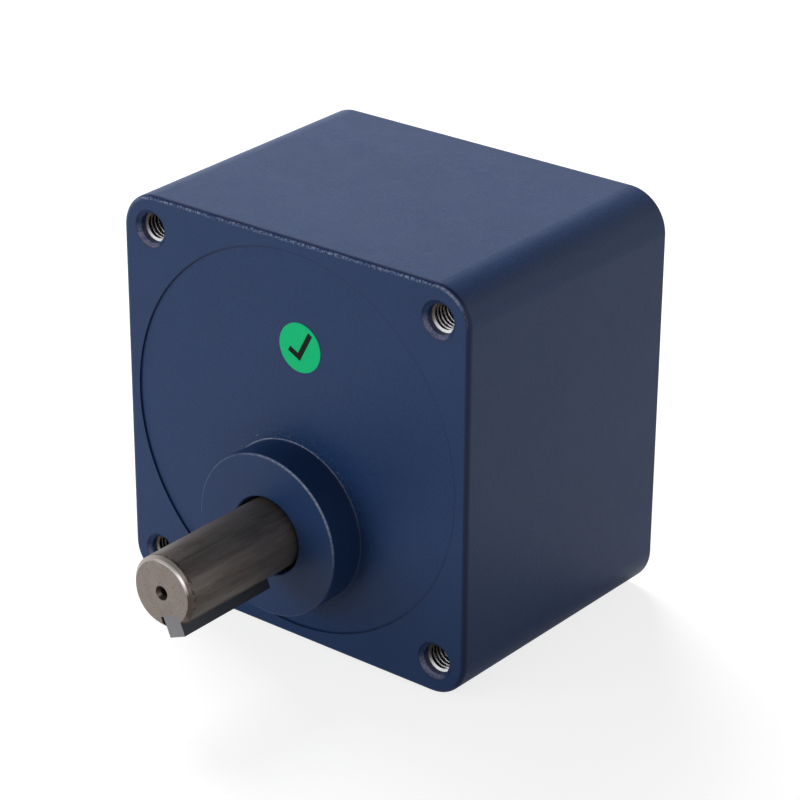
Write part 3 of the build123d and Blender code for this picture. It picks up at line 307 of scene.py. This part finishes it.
# Painted shade along the step of the front face and round the mouths of the holes, and a few
# dark specks on the top
step = node(tree, "Math", {0: from_centre, 1: step_r - 0.1}, operation="SUBTRACT")
step = node(tree, "Math", {0: step}, operation="ABSOLUTE")
step = node(tree, "MapRange", {"Value": step, 1: 0.5, 2: 0.12}, interpolation_type="SMOOTHSTEP")
on_face = node(tree, "MapRange", {"Value": depth, 1: 1.0, 2: 0.7})
step = node(tree, "Math", {0: step, 1: on_face}, operation="MULTIPLY")
leftward = node(tree, "MapRange", {"Value": axes["X"], 1: 44.0, 2: 0.0, 3: 0.5, 4: 0.4})
step = node(tree, "Math", {0: step, 1: leftward}, operation="MULTIPLY")
pocks = node(tree, "MapRange", {"Value": specks, 1: 0.7, 2: 0.74})
on_top = node(tree, "MapRange", {"Value": axes["Z"], 1: top_z - 1.5, 2: top_z - 0.5})
pocks = node(tree, "Math", {0: pocks, 1: on_top}, operation="MULTIPLY")
pocks = node(tree, "Math", {0: pocks, 1: 0.45}, operation="MULTIPLY")
painted_shade_and_specks = node(tree, "Math", {0: step, 1: pocks}, operation="MAXIMUM")
painted_shade_and_specks = node(tree, "Math", {0: painted_shade_and_specks, 1: painted_edge_shade}, operation="MAXIMUM")
# Painted shade round the mouths of the holes
mouth = node(tree, "Math", {0: from_hole, 1: countersink_r - 0.05}, operation="SUBTRACT")
mouth = node(tree, "Math", {0: mouth}, operation="ABSOLUTE")
mouth = node(
    tree,
    "MapRange",
    {"Value": mouth, 1: 0.4, 2: 0.1, 3: 0.0, 4: 0.6},
    interpolation_type="SMOOTHSTEP",
)
mouth = node(tree, "Math", {0: mouth, 1: on_face}, operation="MULTIPLY")
painted_shade_and_specks = node(tree, "Math", {0: painted_shade_and_specks, 1: mouth}, operation="MAXIMUM")
# Bare metal in the threads, in the boss behind the lip, and inside the housing
in_hole = node(tree, "MapRange", {"Value": from_hole, 1: thread_r + 0.12, 2: thread_r + 0.05})
threaded = node(
    tree, "MapRange", {"Value": depth, 1: thread_start - 0.05, 2: thread_start + 0.15}
)
in_hole = node(tree, "Math", {0: in_hole, 1: threaded}, operation="MULTIPLY")
within = node(tree, "MapRange", {"Value": outline, 1: 0.1 - inside_in, 2: -0.1 - inside_in})
behind = node(tree, "MapRange", {"Value": depth, 1: inside_front - 0.1, 2: inside_front + 0.1})
before = node(tree, "MapRange", {"Value": depth, 1: inside_rear + 0.1, 2: inside_rear - 0.1})
within = node(tree, "Math", {0: within, 1: behind}, operation="MULTIPLY")
within = node(tree, "Math", {0: within, 1: before}, operation="MULTIPLY")
in_bore = node(tree, "MapRange", {"Value": from_boss, 1: lip_r + 0.4, 2: lip_r + 0.2})
lip_end = boss_front + lip_length
bore_depth = node(tree, "MapRange", {"Value": depth, 1: lip_end - 0.1, 2: lip_end + 0.1})
in_bore = node(tree, "Math", {0: in_bore, 1: bore_depth}, operation="MULTIPLY")
bare = node(tree, "Math", {0: in_hole, 1: in_bore}, operation="MAXIMUM")
bare = node(tree, "Math", {0: bare, 1: in_front}, operation="MULTIPLY")
bare = node(tree, "Math", {0: bare, 1: within}, operation="MAXIMUM")
# Two near blues in broad clouds, the grain, then painted shade and dark specks, scuffs, and wear
# with painted highlight; the threads run from painted shade on one side to a painted highlight on
# the other
paint = node(tree, "MixRGB", {0: clouds, 1: linear("19325A"), 2: linear("203963")})
skyward = node(tree, "MapRange", {"Value": on_top, 3: 1.0, 4: 2.2})
mottle = node(tree, "Math", {0: grit, 1: 0.5}, operation="SUBTRACT")
mottle = node(tree, "Math", {0: mottle, 1: skyward}, operation="MULTIPLY")
mottle = node(tree, "Math", {0: mottle, 1: 1.0}, operation="ADD")
paint = node(tree, "VectorMath", {0: paint, "Scale": mottle}, operation="SCALE")
paint = node(tree, "MixRGB", {0: painted_shade_and_specks, 1: paint, 2: linear("08153A")})
paint = node(tree, "MixRGB", {0: scuffed, 1: paint, 2: linear("8C8CA8")})
paint = node(tree, "MixRGB", {0: wear_and_highlight, 1: paint, 2: linear("A4AEC6")})
metal = node(tree, "MixRGB", {0: patches, 1: linear("B4B2AE"), 2: linear("D4D2CE")})
# Threads: painted shade at the upper left, painted highlight at the lower right
low_side = node(
    tree, "VectorMath", {0: in_corner, 1: (0.75, 0, -0.66)}, operation="DOT_PRODUCT"
).outputs["Value"]
low_side = node(
    tree, "MapRange", {"Value": low_side, 1: -3.5, 2: 2.2}, interpolation_type="SMOOTHSTEP"
)
thread_shade_and_highlight = node(tree, "MixRGB", {0: low_side, 1: linear("4E4743"), 2: linear("DCDCE0")})
metal = node(tree, "MixRGB", {0: in_hole, 1: metal, 2: thread_shade_and_highlight})
colour = node(tree, "MixRGB", {0: bare, 1: paint, 2: metal})
satin = node(tree, "MapRange", {"Value": patches, 3: 0.38, 4: 0.48})
roughness = node(tree, "MixRGB", {0: bare, 1: satin, 2: (0.2, 0.2, 0.2, 1)})
peel = node(tree, "TexNoise", {"Vector": in_mm, "Scale": 1 / 0.9, "Detail": 2.0, "Roughness": 0.55})
bump = node(tree, "Bump", {"Strength": 0.5, "Distance": 0.06 * MM, "Height": peel})
bump = node(tree, "Bump", {"Strength": 0.9, "Distance": 0.05 * MM, "Height": grit, "Normal": bump})
coat = node(
    tree,
    "BsdfPrincipled",
    {
        "Base Color": colour,
        "Metallic": bare,
        "Roughness": roughness,
        "Specular IOR Level": 0.3,
        "Normal": bump,
    },
)
node(tree, "OutputMaterial", {"Surface": coat})

# Medium-carbon steel bar, ground and left oiled: a brown-grey skin with fine marks round the
# bar, streaks and stains along it and one long scratch, a paler faced end with small pits, a
# chamfer with a painted highlight along its rim at the top, darker and browner on one side, and
# dirt behind it
ground_steel, tree, in_mm = new_finish("ground_steel")
axes = node(tree, "SeparateXYZ", {0: in_mm}).outputs
depth = axes["Y"]
flat = node(tree, "VectorMath", {0: in_mm, 1: (1, 0, 1)}, operation="MULTIPLY")
girth = node(tree, "VectorMath", {0: flat}, operation="LENGTH").outputs["Value"]
drawn = node(tree, "VectorMath", {0: in_mm, 1: (0.12, 9.0, 0.12)}, operation="MULTIPLY")
marks = node(tree, "TexNoise", {"Vector": drawn, "Scale": 1.0, "Detail": 3.0, "Roughness": 0.6})
drawn = node(tree, "VectorMath", {0: in_mm, 1: (1.0, 0.06, 1.0)}, operation="MULTIPLY")
streak = node(
    tree, "TexNoise", {"Vector": drawn, "Scale": 1 / 1.1, "Detail": 3.0, "Roughness": 0.65}
)
streak = node(tree, "MapRange", {"Value": streak, 1: 0.3, 2: 0.7})
drawn = node(tree, "VectorMath", {0: in_mm, 1: (1.0, 0.3, 1.0)}, operation="MULTIPLY")
stains = node(tree, "TexNoise", {"Vector": drawn, "Scale": 1 / 3.5, "Detail": 4.0, "Roughness": 0.6})
mottle = node(tree, "TexNoise", {"Vector": in_mm, "Scale": 1 / 0.5, "Detail": 2.0, "Roughness": 0.6})
body = node(tree, "MixRGB", {0: streak, 1: linear("6B625B"), 2: linear("837B75")})
stain = node(tree, "MapRange", {"Value": stains, 1: 0.45, 2: 0.75, 3: 0.0, 4: 0.6})
body = node(tree, "MixRGB", {0: stain, 1: body, 2: linear("534A42")})
scratch = node(
    tree, "VectorMath", {0: in_mm, 1: (0.34, 0, -0.94)}, operation="DOT_PRODUCT"
).outputs["Value"]
scratch = node(tree, "Math", {0: scratch, 1: 6.9}, operation="ADD")
scratch = node(tree, "Math", {0: scratch}, operation="ABSOLUTE")
scratch = node(tree, "MapRange", {"Value": scratch, 1: 0.22, 2: 0.05, 3: 0.0, 4: 0.55})
topside = node(tree, "MapRange", {"Value": axes["X"], 1: 3.0, 2: 5.0})
scratch = node(tree, "Math", {0: scratch, 1: topside}, operation="MULTIPLY")
body = node(tree, "MixRGB", {0: scratch, 1: body, 2: linear("2E2823")})
end = node(tree, "MixRGB", {0: stains, 1: linear("81776F"), 2: linear("9D928C")})
fleck = node(tree, "MapRange", {"Value": mottle, 1: 0.3, 2: 0.7, 3: 0.86, 4: 1.14})
end = node(tree, "VectorMath", {0: end, "Scale": fleck}, operation="SCALE")
pits = node(tree, "TexNoise", {"Vector": in_mm, "Scale": 1 / 0.8, "Detail": 1.0})
pits = node(tree, "MapRange", {"Value": pits, 1: 0.67, 2: 0.74, 3: 0.0, 4: 0.5})
end = node(tree, "MixRGB", {0: pits, 1: end, 2: linear("4F4844")})
faced = node(
    tree,
    "MapRange",
    {"Value": depth, 1: shaft_tip + 0.12, 2: shaft_tip + 0.02},
    interpolation_type="SMOOTHSTEP",
)
chamfer_end = shaft_tip + shaft_chamfer
turned = node(tree, "MapRange", {"Value": depth, 1: chamfer_end + 0.15, 2: chamfer_end - 0.1})
chamfer = node(tree, "Math", {0: turned, 1: faced}, operation="SUBTRACT", use_clamp=True)
# Chamfer darker and browner towards its right side, in patches
browner_right = node(tree, "MapRange", {"Value": axes["X"], 1: 4.5, 2: 7.5, 3: 0.0, 4: 1.8})
browner_right = node(tree, "Math", {0: browner_right, 1: stains}, operation="MULTIPLY")
browner_right = node(tree, "Math", {0: browner_right, 1: 0.95}, operation="MINIMUM")
ring = node(tree, "MixRGB", {0: browner_right, 1: linear("A39B94"), 2: linear("4E4038")})
dirt = node(tree, "TexNoise", {"Vector": in_mm, "Scale": 1 / 1.2, "Detail": 2.0})
dirt = node(tree, "MapRange", {"Value": dirt, 1: 0.5, 2: 0.58, 3: 0.0, 4: 0.85})
behind = node(tree, "MapRange", {"Value": depth, 1: shaft_tip + 2.4, 2: shaft_tip + 1.2})
dirt = node(tree, "Math", {0: dirt, 1: behind}, operation="MULTIPLY")
# Painted highlight along the inner rim of the chamfer, at its top
glint = node(tree, "Math", {0: girth, 1: shaft_r - shaft_chamfer + 0.1}, operation="SUBTRACT")
glint = node(tree, "Math", {0: glint}, operation="ABSOLUTE")
glint = node(
    tree,
    "MapRange",
    {"Value": glint, 1: 0.45, 2: 0.15, 3: 0.0, 4: 0.9},
    interpolation_type="SMOOTHSTEP",
)
topmost = node(
    tree, "VectorMath", {0: in_mm, 1: (0.5, 0, 0.87)}, operation="DOT_PRODUCT"
).outputs["Value"]
topmost = node(tree, "MapRange", {"Value": topmost, 1: 5.5, 2: 8.2}, interpolation_type="SMOOTHSTEP")
glint = node(tree, "Math", {0: glint, 1: topmost}, operation="MULTIPLY")
drilled = node(tree, "MapRange", {"Value": girth, 1: centre_hole_r + 0.1, 2: centre_hole_r - 0.1})
colour = node(tree, "MixRGB", {0: dirt, 1: body, 2: linear("2A2624")})
colour = node(tree, "MixRGB", {0: chamfer, 1: colour, 2: ring})
colour = node(tree, "MixRGB", {0: faced, 1: colour, 2: end})
colour = node(tree, "MixRGB", {0: glint, 1: colour, 2: linear("F2EFEB")})
colour = node(tree, "MixRGB", {0: drilled, 1: colour, 2: linear("4A403A")})
roughness = node(tree, "MapRange", {"Value": marks, 3: 0.34, 4: 0.52})
roughness = node(tree, "MixRGB", {0: chamfer, 1: roughness, 2: (0.28, 0.28, 0.28, 1)})
height = node(tree, "MixRGB", {0: faced, 1: marks, 2: mottle})
bump = node(tree, "Bump", {"Strength": 0.35, "Distance": 0.012 * MM, "Height": height})
steel = node(
    tree,
    "BsdfPrincipled",
    {"Base Color": colour, "Metallic": 0.6, "Roughness": roughness, "Normal": bump},
)
node(tree, "OutputMaterial", {"Surface": steel})

# Key of cold-drawn steel: sides dulled blue-black by oil, with long drawing marks, and a sawn
# end that is pale, with cross scratches
key_steel, tree, in_mm = new_finish("drawn_key_steel")
depth = node(tree, "SeparateXYZ", {0: in_mm}).outputs["Y"]
drawn = node(tree, "VectorMath", {0: in_mm, 1: (1.0, 0.08, 1.0)}, operation="MULTIPLY")
marks = node(tree, "TexNoise", {"Vector": drawn, "Scale": 1 / 0.7, "Detail": 3.0, "Roughness": 0.6})
sawn = node(tree, "VectorMath", {0: in_mm, 1: (4.0, 1.0, 0.5)}, operation="MULTIPLY")
sawn = node(tree, "TexNoise", {"Vector": sawn, "Scale": 1.0})
on_end = node(
    tree,
    "MapRange",
    {"Value": depth, 1: shaft_tip + 0.12, 2: shaft_tip + 0.02},
    interpolation_type="SMOOTHSTEP",
)
sides = node(tree, "MixRGB", {0: marks, 1: linear("34373D"), 2: linear("464950")})
end = node(tree, "MixRGB", {0: sawn, 1: linear("848386"), 2: linear("8E8D90")})
colour = node(tree, "MixRGB", {0: on_end, 1: sides, 2: end})
bump = node(tree, "Bump", {"Strength": 0.3, "Distance": 0.01 * MM, "Height": marks})
steel = node(
    tree,
    "BsdfPrincipled",
    {"Base Color": colour, "Metallic": 0.75, "Roughness": 0.42, "Normal": bump},
)
node(tree, "OutputMaterial", {"Surface": steel})

# Enamelled copper wire, wound tight: turn lies beside turn outwards from the motor's axis, with
# painted shade in the grooves between turns, so each turn shows its own bright line
wire_d = 0.8
copper, tree, in_mm = new_finish("enamelled_copper_wire")
across = node(tree, "VectorMath", {0: in_mm, 1: (0, 0, -face_z)}, operation="ADD")
across = node(tree, "VectorMath", {0: across, 1: (1, 0, 1)}, operation="MULTIPLY")
reach = node(tree, "VectorMath", {0: across}, operation="LENGTH").outputs["Value"]
turns = node(tree, "Math", {0: reach, 1: 2 * pi / wire_d}, operation="MULTIPLY")
turns = node(tree, "Math", {0: turns}, operation="SINE")
turns = node(tree, "MapRange", {"Value": turns, 1: -1.0, 2: 1.0})
uneven = node(tree, "TexNoise", {"Vector": in_mm, "Scale": 1 / 2.0, "Detail": 2.0})
bright = node(tree, "MixRGB", {0: uneven, 1: linear("B5622F"), 2: linear("C97A42")})
# Painted shade between the turns, the copper's own colour on their crests
colour = node(tree, "MixRGB", {0: turns, 1: linear("4A2310"), 2: bright})
bump = node(tree, "Bump", {"Strength": 1.0, "Distance": 0.3 * MM, "Height": turns})
wire = node(
    tree,
    "BsdfPrincipled",
    {"Base Color": colour, "Metallic": 1.0, "Roughness": 0.28, "Normal": bump},
)
node(tree, "OutputMaterial", {"Surface": wire})


def machined(name, dark, pale, spot, roughness, stretch=(1, 1, 1), relief=0.01):
    """A metal of two near tones, with tool marks of a size in millimetres drawn out one way."""
    material, tree, in_mm = new_finish(name)
    drawn = node(tree, "VectorMath", {0: in_mm, 1: stretch}, operation="MULTIPLY")
    marks = node(
        tree, "TexNoise", {"Vector": drawn, "Scale": 1 / spot, "Detail": 3.0, "Roughness": 0.6}
    )
    tone = node(tree, "MixRGB", {0: marks, 1: linear(dark), 2: linear(pale)})
    sheen = node(tree, "MapRange", {"Value": marks, 3: roughness - 0.06, 4: roughness + 0.08})
    bump = node(tree, "Bump", {"Strength": 0.3, "Distance": relief * MM, "Height": marks})
    metal = node(
        tree,
        "BsdfPrincipled",
        {"Base Color": tone, "Metallic": 1.0, "Roughness": sheen, "Normal": bump},
    )
    node(tree, "OutputMaterial", {"Surface": metal})
    return material


def moulded(name, dark, pale, spot, roughness, relief=0.01, gloss=0.5):
    """A plastic, rubber or print of two near tones, its texture of a size in millimetres."""
    material, tree, in_mm = new_finish(name)
    marks = node(tree, "TexNoise", {"Vector": in_mm, "Scale": 1 / spot, "Detail": 2.0})
    tone = node(tree, "MixRGB", {0: marks, 1: linear(dark), 2: linear(pale)})
    sheen = node(tree, "MapRange", {"Value": marks, 3: roughness - 0.05, 4: roughness + 0.08})
    bump = node(tree, "Bump", {"Strength": 0.4, "Distance": relief * MM, "Height": marks})
    skin = node(
        tree,
        "BsdfPrincipled",
        {"Base Color": tone, "Roughness": sheen, "Specular IOR Level": gloss, "Normal": bump},
    )
    node(tree, "OutputMaterial", {"Surface": skin})
    return material


along = (1.0, 0.08, 1.0)
round_about = (0.1, 6.0, 0.1)
finishes = {
    "blue_powder_coat": powder_coat,
    "ground_steel": ground_steel,
    "key_steel": key_steel,
    "copper_wire": copper,
    # Matt vinyl film, printed one flat green: even, with almost no gloss
    "green_label": moulded("green_vinyl_label", "13BE7A", "19CC84", 0.6, 0.6, 0.004, 0.12),
    # Case-hardened steel, hobbed and oiled: mid grey with marks along the teeth
    "gear_steel": machined("hobbed_gear_steel", "7E7C79", "9A9895", 0.5, 0.3, along),
    # Through-hardened bearing steel, lapped: near mirror, with hair lines round the rings
    "bearing_steel": machined(
        "lapped_bearing_steel", "B8B8B8", "CACACA", 0.8, 0.12, round_about, 0.002
    ),
    # Steel sheet or wire with bright zinc: pale, cool, faintly clouded
    "zinc_steel": machined("zinc_plated_steel", "A9ACB2", "C2C5CB", 1.5, 0.25),
    # Screws and springs in hot black oxide: near black with a dull steel shine
    "black_steel": machined("black_oxide_steel", "26262A", "38383E", 0.8, 0.36),
    # Die-cast aluminium, shot-blasted: soft grey with a fine pebble
    "cast_aluminium": machined("die_cast_aluminium", "9B9C9E", "B6B7B9", 1.2, 0.42, relief=0.03),
    # Electrical steel sheets of about 0.5 mm, stacked and varnished: fine lines across the stack
    "laminated_steel": machined(
        "stacked_steel_sheets", "5E5E62", "8E8E92", 0.5, 0.4, (0.02, 2.0, 0.02), 0.05
    ),
    # Sintered magnets, nickel plated: warm and bright, softly clouded
    "magnet_nickel": machined("nickel_plated_magnet", "B0AEA6", "C4C2BA", 2.0, 0.2),
    # Moulded nitrile rubber: black, matt, slightly uneven
    "seal_rubber": moulded("nitrile_rubber", "151515", "202020", 0.8, 0.55, 0.02),
    # Glass-filled nylon: off-white, with the fibre's faint mottle
    "white_plastic": moulded("glass_filled_nylon", "D8D4C8", "E6E2D8", 0.8, 0.45, 0.02),
    # Spark-textured black nylon: satin, with a fine even grain
    "black_plastic": moulded("spark_textured_nylon", "17181A", "232427", 0.4, 0.45, 0.03),
    # Glass fibre board under green solder mask: glossy, with a slow tint change
    "board_green": moulded("green_solder_mask", "0E4A2C", "14603A", 1.5, 0.3),
    # Brass pins with a flash of gold: bright yellow with drawing marks along them
    "brass_pins": machined("gold_flashed_brass", "C09A48", "DCB664", 0.5, 0.2, along),
}
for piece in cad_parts.values():
    for held in piece.material_slots:
        held.material = finishes[held.material.name]

# Printed tick on the round label, an L of ink turned on its corner; the film's face lies in the
# recess of the front, and the ink stands 0.02 mm out of it
stroke, short_arm, long_arm = 1.5 * MM, 2.8 * MM, 7.0 * MM
film_face, ink_depth = 0.38 * MM, 0.02 * MM
tick_x, tick_z, tick_lean = 2.6 * MM, 46.2 * MM, radians(-62)
bpy.ops.object.select_all(action="DESELECT")
bpy.ops.mesh.primitive_plane_add(size=stroke, location=(0, 0, 0))
tick = bpy.context.object
tick.name = "label_tick"
bpy.ops.object.mode_set(mode="EDIT")
for low_x, low_y, reach in (
    (stroke / 3, -stroke, (long_arm, 0, 0)),
    (-stroke, stroke / 3, (0, short_arm, 0)),
):
    bpy.ops.mesh.select_mode(type="EDGE")
    bpy.ops.mesh.select_all(action="DESELECT")
    shape = bmesh.from_edit_mesh(tick.data)
    for side in shape.edges:
        middle = (side.verts[0].co + side.verts[1].co) / 2
        side.select = middle.x > low_x and middle.y > low_y and middle.length < stroke
    bmesh.update_edit_mesh(tick.data)
    bpy.ops.mesh.extrude_region_move(TRANSFORM_OT_translate={"value": reach})
bpy.ops.object.mode_set(mode="OBJECT")
plate = tick.modifiers.new("ink", "SOLIDIFY")
plate.thickness, plate.offset = ink_depth, 0
bpy.ops.object.modifier_apply(modifier="ink")
tick.rotation_euler = (radians(90), tick_lean, 0)
tick.location = (tick_x, film_face - ink_depth / 2, tick_z)
bpy.ops.object.transform_apply(location=True, rotation=True, scale=True)
# Screen-printed ink: a flat near black with no gloss
tick.data.materials.append(moulded("black_label_ink", "0C100E", "151A17", 0.4, 0.6, 0.002, 0.15))
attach(tick, "gearcase")

bpy.context.scene.view_settings.view_transform = "Standard"
